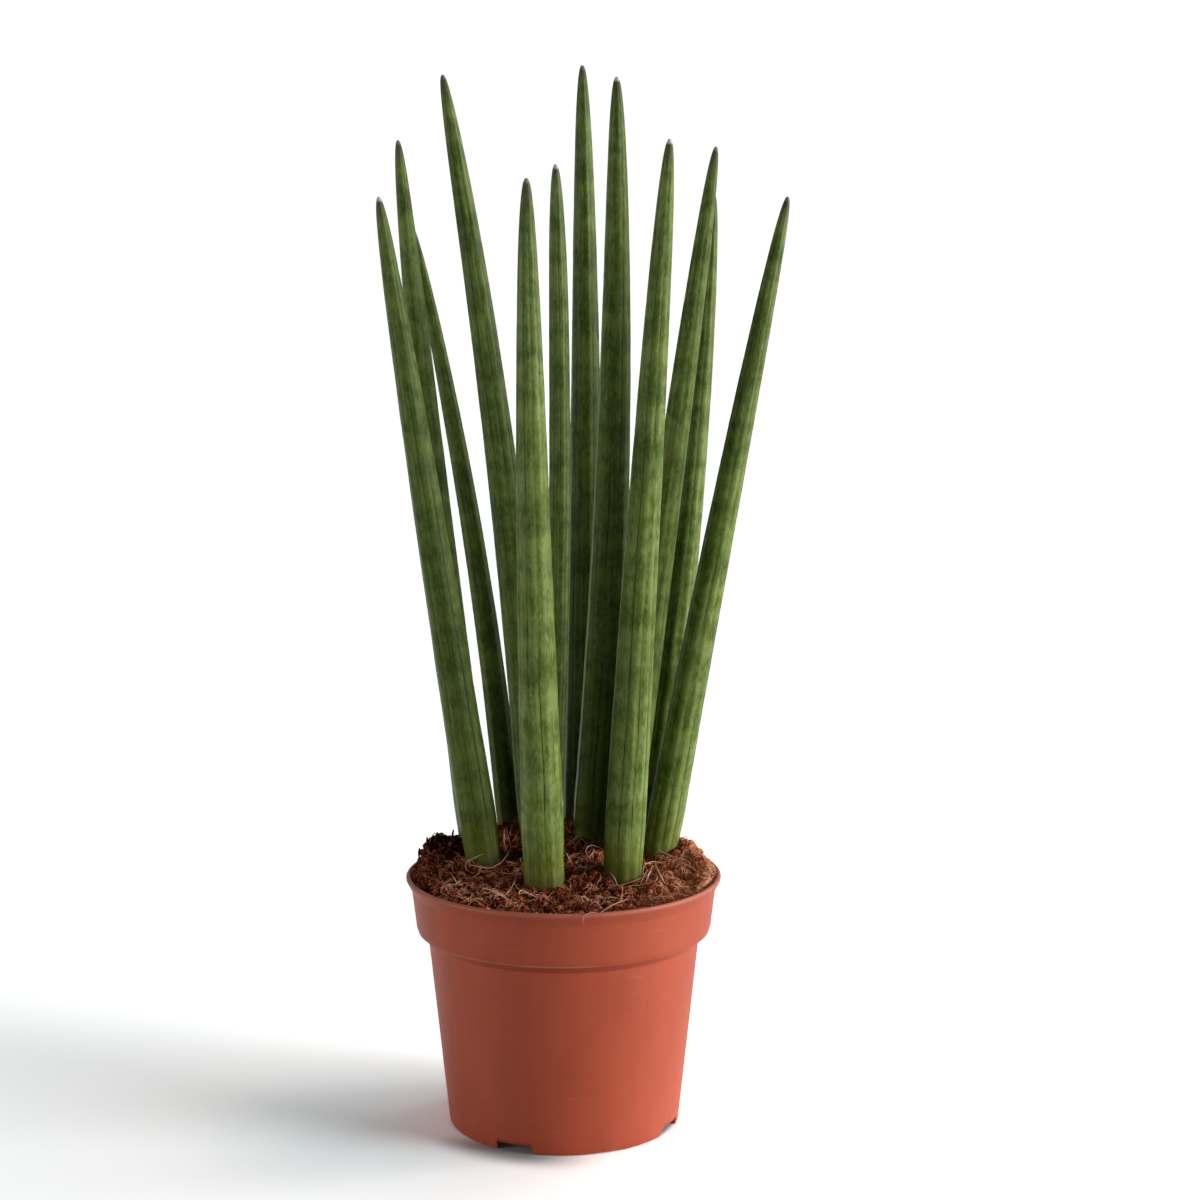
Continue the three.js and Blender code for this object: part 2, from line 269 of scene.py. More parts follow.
def pot_plastic():
    """Satin polypropylene: faintly clouded, scuffed and a little dusty, with a painted highlight
    along the lip's top and another along the mould line at the foot of the band."""
    finish, start = new_finish("terracotta_polypropylene", IOR=1.49, Specular_IOR_Level=0.45)
    place = start.node("ShaderNodeTexCoord", output="Object")
    centred = start.node("ShaderNodeMapping", {}, {"Vector": place, "Location": -POT_AXIS})
    height = centred.parts()[2]
    clouds = centred.stretched(1, 1, 0.5).grain(45, 3)
    flow = centred.stretched(1, 1, 0.12).grain(160, 2)
    speckle = centred.grain(900, 2)
    body = clouds.ease(0.3, 0.7).mix(PLASTIC_DEEP, PLASTIC_FAIR)
    body = (flow.ease(0.45, 0.75) * 0.2).mix(body, PLASTIC_FLOW)
    # Painted highlight: the lip's rolled top is paler, where the light catches it.
    lip = height.ease((POT_HEIGHT - LIP_FADE[0]) * MM, (POT_HEIGHT - LIP_FADE[1]) * MM)
    body = (lip * 0.55).mix(body, LIP_PAINTED_HIGHLIGHT)
    # Painted highlight along the mould line, where its sharp edge catches the light.
    line = (height.ease(MOULD_LINE_LOW[0] * MM, MOULD_LINE_LOW[1] * MM)
            * height.ease(MOULD_LINE_HIGH[0] * MM, MOULD_LINE_HIGH[1] * MM))
    body = (line * centred.grain(22, 2).ease(0.42, 0.6) * 0.55).mix(body, MOULD_LINE_PAINTED_HIGHLIGHT)
    scuffs = centred.stretched(1, 1, 9).grain(260, 2).ease(0.68, 0.76)
    body = (scuffs * 0.3).mix(body, PALE_SCUFF)
    scratches = (centred.stretched(60, 60, 2400).grain(1, 1).ease(0.7, 0.73)
                 * centred.stretched(1, 1, 2).grain(38, 1).ease(0.6, 0.66))
    body = (scratches * 0.3).mix(body, PALE_SCRATCH)
    dust = speckle.ease(0.62, 0.75) * centred.grain(60, 2).ease(0.45, 0.7)
    body = (dust * 0.35).mix(body, BROWN_DUST)
    relief = speckle * 0.3 + flow * 0.2 + clouds * 0.5
    dress(finish, Base_Color=body, Roughness=0.46 + clouds * 0.08 + dust * 0.1,
          Normal=relief.bumped(0.2 * MM, 0.4))
    return finish


moulding = turned(rounded(POT_CORNERS), POT_STEPS)
cutters = bmesh.new()
for quarter in range(4):
    foot_cutter(cutters, FOOT_NOTCH, quarter, 1 if quarter % 2 == 0 else -1)
    foot_cutter(cutters, FOOT_ARCH, quarter, 1)
for hole in range(DRAIN_HOLE["count"]):
    angle = math.radians(DRAIN_HOLE["first"] + hole * 360 / DRAIN_HOLE["count"])
    spot = Vector((math.sin(angle), -math.cos(angle), 0)) * DRAIN_HOLE["circle"] * MM
    size = DRAIN_HOLE["radius"] * MM
    bmesh.ops.create_cone(cutters, cap_ends=True, segments=DRAIN_HOLE["steps"], radius1=size,
                          radius2=size, depth=POT_HEIGHT / 4 * MM,
                          matrix=Matrix.Translation(spot))
for shape in (moulding, cutters):
    bmesh.ops.translate(shape, verts=shape.verts, vec=POT_AXIS)
plastic = pot_plastic()
pot = new_piece("pot_moulding", moulding, plastic)
cut(pot, new_piece("pot_cutters", cutters, plastic))
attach(pot, "root")
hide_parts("pot")

# ---- Leaves --------------------------------------------------------------------------------------
# Twelve round spears of firm, fibrous leaf flesh under a waxy skin, each on its own from the soil
# up. They taper to a dry point, are grooved lengthwise, and their skin is banded across in two
# greens.

# In mm: the height at which the feet are given, how far a leaf goes on below it, its bevelled end,
# and how far apart its rings are down there.
LEAF_FOOT_HEIGHT = 100
LEAF_BURIED = 24
LEAF_BLUNT = 4
BURIED_RING = 4
# How fast a leaf thickens from its tip, how sharply a slim one stops, how much of its thickness is
# left at the soil, and over what share of its length it narrows to that.
LEAF_TAPER = 0.38
CAP_POWER = 6
LEAF_WAIST = 0.93
WAIST_SHARE = 0.07
# Shares of the radius, and the swellings' spacing round and along the leaf in mm.
LEAF_GROOVES = 10
GROOVE_DEPTH = 0.045
SWELL_DEPTH = 0.02
SWELL_WIDTH = 9
SWELL_LENGTH = 14
# How each leaf differs from the one before: its roll in degrees, and where its swellings and the
# pattern of its skin are taken from.
ROLL_STEP = 137.5
SWELL_SHIFT = 7
SKIN_SHIFT = 2
LEAF_STEPS = 60
LEAF_RINGS = 130
RING_CROWDING = 1.7

# In mm from the pot's axis: the foot at the soil line, the tip, how far the middle bows, how thick
#  the leaf is at its foot, and the most that a slim one comes to. The tone is how pale its skin is:
#  partly the leaf's own paleness and partly painted shade, lower for the leaves that stand in the
#  others' shade and higher for those in the light. Dry is how pale its dry point is.
LEAVES = [
    {"foot": (-31, 10), "tip": (-66.5, -6, 349), "bow": (0, -1), "thick": 15,
     "tone_and_shade": 0.3, "dry": 0.9},
    {"foot": (-34.5, 28), "tip": (-62, 28, 370.5), "bow": (-1, 1), "thick": 14.4,
     "tone_and_shade": 0.5, "dry": 0.25},
    {"foot": (-21.5, 42.5), "tip": (-59.5, 60, 339), "bow": (4, 1), "thick": 11,
     "tone_and_shade": 0.05, "dry": 0.2},
    {"foot": (-10, 29), "tip": (-45.5, 35, 395), "bow": (3.8, 1), "thick": 15.8,
     "tone_and_shade": 0.3, "dry": 0.15},
    {"foot": (-7, -18), "tip": (-12, -36, 355), "bow": (-0.6, -2), "thick": 16.4,
     "tone_and_shade": 0.72, "dry": 0.35},
    {"foot": (-5.5, 8), "tip": (-2.5, 5, 361), "bow": (2.6, 0), "thick": 15, "most": 8.2,
     "tone_and_shade": 0.22, "dry": 0.8},
    {"foot": (6.5, 47), "tip": (7, 57, 400), "bow": (1.4, 1), "thick": 16,
     "tone_and_shade": 0.15, "dry": 0.2},
    {"foot": (10.8, 27.5), "tip": (20, 22, 393.5), "bow": (3.2, 0), "thick": 17.2,
     "tone_and_shade": 0.1, "dry": 1.0},
    {"foot": (22.4, -9), "tip": (38.5, -24, 369), "bow": (-0.6, -1.5), "thick": 16,
     "tone_and_shade": 0.75, "dry": 1.0},
    {"foot": (21.5, 14), "tip": (56.5, 10, 367.5), "bow": (-0.4, 0), "thick": 14.2,
     "tone_and_shade": 0.25, "dry": 0.3},
    {"foot": (33.5, 35.5), "tip": (57.5, 46, 351), "bow": (2.8, 1), "thick": 13.6,
     "tone_and_shade": 0.92, "dry": 0.3},
    {"foot": (37, 19), "tip": (84, 22, 349.5), "bow": (-0.8, 0), "thick": 14.2,
     "tone_and_shade": 0.8, "dry": 0.2},
]


def eased(share):
    """0 to 1 with a smooth rise between, held at both ends."""
    held = min(max(share, 0), 1)
    return held * held * (3 - 2 * held)


def leaf_radius(leaf, share):
    """The radius at a share of the way from the tip to the soil line, without the narrowed foot."""
    tapered = max(leaf["thick"] * share ** LEAF_TAPER, 1e-6)
    capped = leaf["most"] ** -CAP_POWER if "most" in leaf else 0
    return (tapered ** -CAP_POWER + capped) ** (-1 / CAP_POWER) / 2


def leaf_frame(leaf):
    """Where a leaf's foot is, the turn that leans it, and its length, in mm."""
    start = Vector((*leaf["foot"], LEAF_FOOT_HEIGHT))
    way = Vector(leaf["tip"]) - start
    return start, Vector((0, 0, 1)).rotation_difference(way), way.length


def bowed(leaf, along):
    """How far a leaf's middle is off the straight line, across and deep, at a share of the way."""
    bulge = 4 * along * (1 - along)
    return leaf["bow"][0] * bulge, leaf["bow"][1] * bulge


def leaf_middle(leaf, up):
    """The middle of a leaf at a distance from its foot, in mm."""
    start, lean, length = leaf_frame(leaf)
    return start + lean @ Vector((*bowed(leaf, up / length), up))


def leaf_profile(leaf):
    """Radius and height from the blunt buried end up to the tip."""
    length = leaf_frame(leaf)[2]
    waist = leaf_radius(leaf, 1) * LEAF_WAIST
    shoulder = LEAF_BLUNT - LEAF_BURIED
    points = [(0, -LEAF_BURIED), (waist - LEAF_BLUNT / 2, -LEAF_BURIED), (waist, shoulder)]
    points += [(waist, up) for up in range(shoulder + BURIED_RING, 0, BURIED_RING)]
    for ring in range(LEAF_RINGS + 1):
        share = (1 - ring / LEAF_RINGS) ** RING_CROWDING
        slim = 1 - (1 - LEAF_WAIST) * eased((share - 1 + WAIST_SHARE) / WAIST_SHARE)
        radius = leaf_radius(leaf, share) * slim if share > 0 else 0
        points.append((radius, length * (1 - share)))
    return points


def leaf_shape(leaf, index):
    """A leaf's mesh, with what its skin reads. Skin is the place on the straight leaf. Reach is the
    distance above the soil line, the distance to the tip, and the tone. Dry is for the point."""
    start, lean, length = leaf_frame(leaf)
    roll = Matrix.Rotation(math.radians(index * ROLL_STEP), 2)
    bm = turned(leaf_profile(leaf), LEAF_STEPS)
    skin = bm.verts.layers.float_vector.new("skin")
    reach = bm.verts.layers.float_vector.new("reach")
    dry = bm.verts.layers.float.new("dry")
    for vert in bm.verts:
        x, y, up = vert.co / MM
        vert[skin] = Vector((x, y, up + length * SKIN_SHIFT * index)) * MM
        vert[reach] = (up * MM, (length - up) * MM, leaf["tone_and_shade"])
        vert[dry] = leaf["dry"]
        groove = GROOVE_DEPTH * (1 - math.cos(LEAF_GROOVES * math.atan2(y, x))) / 2
        spot = Vector((x / SWELL_WIDTH, y / SWELL_WIDTH, up / SWELL_LENGTH + index * SWELL_SHIFT))
        swell = SWELL_DEPTH * noise.noise(spot)
        flat = roll @ Vector((x, y)) * (1 - groove + swell)
        across, deep = bowed(leaf, up / length)
        place = Vector((flat.x + across, flat.y + deep, up))
        vert.co = POT_AXIS + (start + lean @ place) * MM
    return bm


# Each green in its darkest and palest leaf, and what is laid over it.
DEEP_GREEN = ((0.026, 0.048, 0.002, 1), (0.094, 0.155, 0.012, 1))
FAIR_GREEN = ((0.082, 0.124, 0.006, 1), (0.34, 0.45, 0.13, 1))
GOLDEN_GREEN = (0.36, 0.37, 0.045, 1)
PALE_FLECK = (0.34, 0.44, 0.12, 1)
PALE_DASH = (0.4, 0.5, 0.2, 1)
DARK_LINE = (0.014, 0.026, 0.001, 1)
YELLOW_FOOT = (0.24, 0.25, 0.04, 1)
FOOT_CONTACT_SHADE = (0.07, 0.06, 0.012, 1)
BROWN_TIP = (0.075, 0.07, 0.04, 1)
DRY_POINT = ((0.13, 0.095, 0.065, 1), (0.72, 0.7, 0.6, 1))


def leaf_skin():
    """Waxy green skin: dark and pale bands across, dark lines along, and a brown dry tip."""
    finish, start = new_finish("waxy_leaf_skin", IOR=1.45, Specular_IOR_Level=0.22)
    skin = start.node("ShaderNodeAttribute", {"attribute_name": "skin"}, output="Vector")
    above, to_tip, tone_and_shade = start.node("ShaderNodeAttribute", {"attribute_name": "reach"},
                                     output="Vector").parts()
    pale_point = start.node("ShaderNodeAttribute", {"attribute_name": "dry"}, output="Fac")
    point = pale_point.mix(*DRY_POINT)
    x, y, _ = skin.parts()
    angle = start.math("ARCTAN2", y, x)

    # The bands run across with wavy, feathered edges. The leaf's tone, partly painted shade, is
    # evened out towards the tip.
    ripple = (skin.stretched(120, 120, 45).grain(1, 2, 0.5) - 0.5) * 6 * MM
    feather = (skin.stretched(1000, 1000, 28).grain(1, 1, 0.5) - 0.5) * 7 * MM
    along = skin.moved(ripple + feather)
    bands = along.stretched(24, 24, 85).grain(1, 2, 0.5)
    blotches = along.stretched(300, 300, 260).grain(1, 3, 0.65)
    streaks = skin.stretched(900, 900, 40).grain(1, 2, 0.5)
    flecks = skin.stretched(950, 950, 560).grain(1, 3, 0.7)
    broad = (skin.stretched(60, 60, 14).grain(1, 1, 0.5) - 0.5) * 0.8
    # Painted shade: the tones, which darken the leaves that stand in shade low down, are evened out
    # towards 0.5 higher up, where the leaves stand clear.
    shade_evened_up = above.ease(50 * MM, 270 * MM) * 0.8
    paleness = tone_and_shade + (0.5 - tone_and_shade) * shade_evened_up
    shade = (paleness + broad * (0.15 + paleness)).ease(-0.25, 1.25)
    banding = bands * 0.45 + blotches * 0.3 + streaks * 0.25
    deep = shade.mix(*DEEP_GREEN)
    fair = shade.mix(*FAIR_GREEN)
    green = banding.ease(0.395, 0.6).mix(deep, fair)

    # Golden patches, flecks, short pale dashes along the leaf, and fine cracks across it.
    golden = skin.stretched(170, 170, 75).grain(1, 2, 0.5).ease(0.5, 0.66) * 0.2 * shade
    green = golden.mix(green, GOLDEN_GREEN)
    green = (flecks.ease(0.5, 0.68) * (0.06 + shade * 0.22)).mix(green, PALE_FLECK)
    green = (flecks.ease(0.48, 0.32) * 0.35).mix(green, deep)
    dashes = skin.stretched(1100, 1100, 330).grain(1, 1, 0.5).ease(0.62, 0.7)
    green = (dashes * (0.04 + shade * 0.3)).mix(green, PALE_DASH)
    cracks = (skin.stretched(170, 170, 1300).grain(1, 1, 0.5).ease(0.64, 0.7)
              * blotches.ease(0.52, 0.45))
    green = (cracks * 0.4).mix(green, deep)

    # Dark lines down the grooves, which wander and are broken here and there.
    wander = (skin.stretched(30, 30, 20).grain(1, 2, 0.5) - 0.5) * 3
    strength = skin.stretched(210, 210, 9).grain(1, 1, 0.5).ease(0.42, 0.58)
    broken = skin.stretched(210, 210, 120).grain(1, 2, 0.6).ease(0.4, 0.6)
    crest = -start.math("COSINE", angle * LEAF_GROOVES + wander)
    lines = crest.ease(0.955, 0.985) * (0.2 + strength * 0.8) * (0.55 + broken * 0.45)
    # Painted shade: the skin darkens a little towards each groove, in its hollow.
    shaded = crest.ease(0.2, 1) * strength
    green = (shaded * 0.3).mix(green, deep)
    green = (lines * 0.95).mix(green, DARK_LINE)

    # The yellower foot, with painted contact shade where it meets the soil, then the brown tip and
    # its dry point.
    low = above.ease(26 * MM, -2 * MM) * (0.15 + blotches * 0.5)
    green = low.mix(green, YELLOW_FOOT)
    # Painted shade: the foot darkens where it meets the soil.
    contact_shade = above.ease(5 * MM, -2 * MM) * (0.3 + flecks * 0.5)
    green = contact_shade.mix(green, FOOT_CONTACT_SHADE)
    tip = to_tip.ease(13 * MM, 1.5 * MM) * (0.4 + flecks * 0.6)
    green = tip.mix(green, BROWN_TIP)
    dry = to_tip.ease(2.2 * MM, 1.1 * MM)
    green = dry.mix(green, point)

    relief = flecks * 0.3 + streaks * 0.4 - lines * 0.5
    dress(finish, Base_Color=green, Roughness=0.4 + flecks * 0.1 + lines * 0.2 + dry * 0.3,
          Normal=relief.bumped(0.25 * MM, 0.5))
    return finish


skin_finish = leaf_skin()
for index, leaf in enumerate(LEAVES):
    spear = new_piece(f"spear_{index + 1:02d}", leaf_shape(leaf, index), skin_finish)
    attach(spear, "root")
    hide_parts(f"leaf_{index + 1:02d}")

# ---- Soil ----------------------------------------------------------------------------------------
# Moist coco coir, pressed in round the leaves. It fills the pot to the lip, lies a little lower at
# the front, and is heaped between the leaves and against the wall at the back left.

# The level at the pot's axis in mm, its rise towards the back, and the rounded edge at the wall.
SOIL_LEVEL = 96.5
SOIL_TILT = 0.07
SOIL_EDGE_RADIUS = 56.1
SOIL_EDGE_WIDTH = 2.5
SOIL_EDGE_DROP = 0.8
# Even small lumps, then broad and fine clods as rise, reach and the slice of noise they come from.
LUMP_RISE = 0.9
LUMP_REACH = 3.1
CLOD_NOISE = [(1.6, 6, 4), (1.1, 2.2, 30)]
# Place from the pot's axis, rise and reach, in mm.
HEAPS = [((-9, 37), 6.4, 12), ((-24, 34), 3.6, 9), ((-49, 20), 7, 8), ((9, 3), 2.8, 7),
         ((11, 20), 3.2, 8), ((47, 21), 4, 8), ((11, -10), 2, 5)]
# Radius and height of the bed's corners under its top, just inside the pot's wall.
SOIL_GAP = 0.3
SOIL_SIDE = [(0, FLOOR_TOP + SOIL_GAP), (42.7, FLOOR_TOP + SOIL_GAP), (49.8, 71.1), (54.3, 77.1)]
SOIL_STEPS = 300
SOIL_RINGS = 88
TOP_MARGIN = 1
SPREAD_POWER = 12
# How fast the pot's inside widens, above and below the bend under its lip.
LIP_SLOPE = 0.43
BAND_SLOPE = 0.127


def coir_height(x, y):
    """The height of the coir in mm, with its heaps, lumps and clods."""
    edge = eased((math.hypot(x, y) - SOIL_EDGE_RADIUS + SOIL_EDGE_WIDTH) / SOIL_EDGE_WIDTH)
    heaps = sum(rise * math.exp(-((x - at[0]) ** 2 + (y - at[1]) ** 2) / (2 * reach ** 2))
                for at, rise, reach in HEAPS)
    lumps = LUMP_RISE * math.sin(x / LUMP_REACH) * math.sin((y + x / 2) / LUMP_REACH)
    clods = sum(rise * noise.noise(Vector((x, y, level)) / reach)
                for rise, reach, level in CLOD_NOISE)
    return SOIL_LEVEL + SOIL_TILT * y + (heaps + lumps + clods) * (1 - edge) - SOIL_EDGE_DROP * edge


def wall_radius(up):
    """The radius of the pot's inside near its mouth, at a height."""
    slope = LIP_SLOPE if up > INNER_BEND_HEIGHT else BAND_SLOPE
    return INNER_BEND_RADIUS + (up - INNER_BEND_HEIGHT) * slope


def soil_shape():
    """The bed of coir as one closed mesh that fills the pot."""
    top = [(SOIL_EDGE_RADIUS * (1 - ring / SOIL_RINGS), SOIL_LEVEL)
           for ring in range(SOIL_RINGS + 1)]
    bm = turned(SOIL_SIDE + top, SOIL_STEPS)
    for vert in bm.verts:
        x, y, up = vert.co / MM
        if up > SOIL_LEVEL - TOP_MARGIN:
            level = coir_height(x, y)
            out = math.hypot(x, y) / SOIL_EDGE_RADIUS
            wider = wall_radius(min(level, POT_HEIGHT)) / SOIL_EDGE_RADIUS - 1
            spread = 1 + wider * out ** SPREAD_POWER
            vert.co = Vector((x * spread, y * spread, level)) * MM
    bmesh.ops.translate(bm, verts=bm.verts, vec=POT_AXIS)
    return bm


COIR_PAINTED_LIGHT = (0.84, 0.29, 0.135, 1)
COIR_PAINTED_LIGHT_FAR = (0.86, 0.4, 0.21, 1)


def coir_finish(name, dark, brown, pale, scale, rough):
    """Matte coir dust or grains: each grain of the pattern has its own brown, and they are paler
    towards the right, which is painted light from the lamps on that side."""
    finish, start = new_finish(name, IOR=1.4, Specular_IOR_Level=0.1)
    place = start.node("ShaderNodeTexCoord", output="Object")
    across = place.parts()[0]
    cells = start.node("ShaderNodeTexVoronoi", {}, {"Vector": place, "Scale": scale}, "Color")
    shade = cells.parts()[0]
    damp = place.grain(70, 3)
    fuzz = place.grain(scale * 2, 4, 0.65)
    colour = shade.ease(0.1, 0.7).mix(dark, brown)
    colour = shade.ease(0.62, 1).mix(colour, pale)
    colour = (fuzz.ease(0.45, 0.7) * 0.6).mix(colour, brown)
    colour = (damp.ease(0.5, 0.68) * 0.6).mix(colour, dark)
    # Painted light: the coir is paler towards the right, where the light falls on it, and palest at
    # the far right.
    painted_light = (across + damp * 20 * MM).ease(16 * MM, 56 * MM) * (0.2 + shade * 0.8)
    colour = painted_light.mix(colour, COIR_PAINTED_LIGHT)
    painted_light_far = (across + damp * 12 * MM).ease(40 * MM, 54 * MM) * shade
    colour = painted_light_far.mix(colour, COIR_PAINTED_LIGHT_FAR)
    dress(finish, Base_Color=colour, Roughness=rough + fuzz * 0.1,
          Normal=fuzz.bumped(0.5 * MM, 0.9))
    return finish


damp_finish = coir_finish("damp_coir", dark=(0.026, 0.005, 0.002, 1), brown=(0.17, 0.032, 0.011, 1),
                          pale=(0.36, 0.105, 0.043, 1), scale=900, rough=0.85)
soil = new_piece("coir_bed", soil_shape(), damp_finish)
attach(soil, "root")
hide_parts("soil")

# ---- Crumbs --------------------------------------------------------------------------------------
# Loose granules of coir pith on top of the bed, from dust up to clods of 4 mm or so, each a small
# faceted lump that is half sunk in what lies under it.
CRUMB_CIRCLE = 55.3
CRUMB_ROUGHNESS = 0.55
CRUMB_PITS = 1.3
CRUMB_TILT = 0.6
NOISE_SPAN = 50
SMALL_BIAS = 2.2
BATCH = 120
# Where each leaf comes out of the coir, and its radius there.
LEAF_FEET = [(leaf_middle(leaf, coir_height(*leaf["foot"]) - LEAF_FOOT_HEIGHT).xy,
              leaf_radius(leaf, 1) * LEAF_WAIST) for leaf in LEAVES]


def by_leaf(x, y, clear):
    """How far a place must move to leave every leaf clear, or None where it already is."""
    for middle, radius in LEAF_FEET:
        away = Vector((x, y)) - middle
        if away.length < radius + clear:
            return away.normalized() * (radius + clear - away.length)
    return None


def crumb(bm, draw, x, y, up, radius, fineness):
    """One irregular granule at a place in mm from the pot's axis."""
    made = bmesh.ops.create_icosphere(bm, subdivisions=fineness, radius=1)["verts"]
    offset = Vector((draw.random(), draw.random(), draw.random())) * NOISE_SPAN
    stretch = Vector((1, draw.uniform(0.55, 0.95), draw.uniform(0.5, 0.9))) * radius
    facing = Matrix.Rotation(draw.uniform(0, 2 * math.pi), 3, "Z")
    turn = facing @ Matrix.Rotation(draw.uniform(-CRUMB_TILT, CRUMB_TILT), 3, "X")
    middle = Vector((x, y, up))
    for vert in made:
        rough = 1 + CRUMB_ROUGHNESS * noise.noise(vert.co * CRUMB_PITS + offset)
        vert.co = POT_AXIS + (middle + turn @ (vert.co * rough * stretch)) * MM


def scattered(draw, count, smallest, largest):
    """Places and sizes of crumbs all over the bed, clear of the leaves."""
    for _ in range(count):
        radius = smallest + (largest - smallest) * draw.random() ** SMALL_BIAS
        out = CRUMB_CIRCLE * math.sqrt(draw.random())
        angle = draw.uniform(0, 2 * math.pi)
        x, y = out * math.cos(angle), out * math.sin(angle)
        if by_leaf(x, y, clear=-0.3) is None:
            yield x, y, coir_height(x, y) + radius * draw.uniform(0, 0.45), radius


def round_leaves(draw, count):
    """Crumbs drawn up in a ring against each leaf."""
    for middle, leaf_size in LEAF_FEET:
        for _ in range(count):
            angle = draw.uniform(0, 2 * math.pi)
            out = leaf_size + draw.uniform(0.1, 1.3)
            x, y = middle.x + out * math.cos(angle), middle.y + out * math.sin(angle)
            yield x, y, coir_height(x, y) + draw.uniform(0, 0.4), draw.uniform(0.6, 1.2)


def along_wall(draw, count):
    """Crumbs that fill the corner between the bed and the pot's wall."""
    for _ in range(count):
        angle = draw.uniform(0, 2 * math.pi)
        across, deep = math.cos(angle), math.sin(angle)
        level = coir_height(SOIL_EDGE_RADIUS * across, SOIL_EDGE_RADIUS * deep)
        radius = draw.uniform(0.5, 1.2)
        out = wall_radius(min(level, POT_HEIGHT)) - radius * draw.uniform(0.9, 1.8)
        yield out * across, out * deep, level + draw.uniform(-0.2, 0.4), radius


def heaped(draw, count, middle, across, deep):
    """Lumps gathered over one spot, within so many mm of its middle across and deep."""
    for _ in range(count):
        x = middle[0] + draw.uniform(-across, across)
        y = middle[1] + draw.uniform(-deep, deep)
        if math.hypot(x, y) < CRUMB_CIRCLE and by_leaf(x, y, clear=0) is None:
            yield x, y, coir_height(x, y) + draw.uniform(0, 0.5), draw.uniform(0.8, 1.7)


def crumbs(name, draw, places, finish, fineness=2):
    """Many crumbs as one piece, made in batches so that each operator works on a small mesh."""
    whole = bmesh.new()
    places = list(places)
    for first in range(0, len(places), BATCH):
        bm = bmesh.new()
        for x, y, up, radius in places[first:first + BATCH]:
            crumb(bm, draw, x, y, up, radius, fineness)
        some = bpy.data.meshes.new("batch")
        bm.to_mesh(some)
        bm.free()
        whole.from_mesh(some)
        bpy.data.meshes.remove(some)
    piece = new_piece(name, whole, finish)
    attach(piece, "root")


grain_finish = coir_finish("coir_grains", dark=(0.04, 0.007, 0.003, 1),
                           brown=(0.33, 0.058, 0.024, 1), pale=(0.72, 0.26, 0.13, 1),
                           scale=800, rough=0.8)
# Near-black coir for the clods and spikes at the back: partly the coir's own dark brown, partly
# painted shade for the shade they stand in.
clod_and_shade_finish = coir_finish("dark_clods", dark=(0.012, 0.003, 0.002, 1),
                          brown=(0.05, 0.014, 0.006, 1), pale=(0.16, 0.05, 0.022, 1),
                          scale=700, rough=0.85)
dust_draw = random.Random(5)
dust = scattered(dust_draw, count=7400, smallest=0.3, largest=0.75)
crumbs("coir_dust", dust_draw, dust, grain_finish, fineness=1)
crumb_draw = random.Random(11)
loose = scattered(crumb_draw, count=1150, smallest=0.6, largest=1.6)
crumbs("coir_crumbs", crumb_draw, loose, grain_finish)
crumbs("leaf_collars", crumb_draw, round_leaves(crumb_draw, count=15), grain_finish)
crumbs("wall_crumbs", crumb_draw, along_wall(crumb_draw, count=300), grain_finish)
# The clods that stand up clear at the back, on the left and on the right: place and radius.
CLODS = [(-55.6, 13.5, 97.2, 1.5), (-54.4, 16.6, 99, 2), (-53, 19, 101, 2.2), (-51, 21.5, 102, 2.3),
         (-48.2, 23.5, 102.6, 2.2), (-45, 24, 102.4, 2), (-42, 24, 102, 1.9), (43.5, 23, 101, 1.7),
         (46.6, 21, 101.4, 1.9), (49.3, 19.7, 101, 1.7), (52, 17, 99.8, 1.9)]
# Painted shade: dark crumbs heaped over the hollow at the back left, where it lies in shadow.
shaded_hollow_heap = list(heaped(crumb_draw, count=90, middle=(-47, 17), across=8, deep=6))
crumbs("dark_clods", crumb_draw, CLODS + shaded_hollow_heap, clod_and_shade_finish)
front_heap = heaped(crumb_draw, count=34, middle=(10.5, -9.5), across=4, deep=5)
crumbs("front_clods", crumb_draw, front_heap, grain_finish)

# ---- Fibres --------------------------------------------------------------------------------------
# Stray husk fibres, a few tenths of a millimetre thick, that lie over the coir or stand out of it.
# Most are short and brown, some are long, pale and stiff.
FIBRE_WALL = 55.0
STRAY_CIRCLE = 54
STRAY_STEPS = 6
STRAY_WANDER = 0.35
STRAY_CLEAR = 0.4
END_DEPTH = 0.8
END_THICKNESS = 0.55


def strands(name, routes, thickness, finish):
    """Fibres as one piece. Each route is a list of points in mm from the pot's axis."""
    curve = bpy.data.curves.new(name, "CURVE")
    curve.dimensions = "3D"
    curve.bevel_depth = thickness / 2 * MM
    curve.bevel_resolution = 0
    curve.use_fill_caps = True
    curve.resolution_u = 2
    for route in routes:
        spline = curve.splines.new("BEZIER")
        spline.bezier_points.add(len(route) - 1)
        for k, (knot, point) in enumerate(zip(spline.bezier_points, route)):
            knot.co = POT_AXIS + Vector(point) * MM
            knot.handle_left_type = "AUTO"
            knot.handle_right_type = "AUTO"
            fullness = math.sin(math.pi * k / (len(route) - 1))
            knot.radius = END_THICKNESS + (1 - END_THICKNESS) * fullness
    rope = bpy.data.objects.new(name, curve)
    bpy.context.scene.collection.objects.link(rope)
    mesh = settled(rope)
    bpy.data.objects.remove(rope)
    bm = bmesh.new()
    bm.from_mesh(mesh)
    piece = new_piece(name, bm, finish)
    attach(piece, "root")


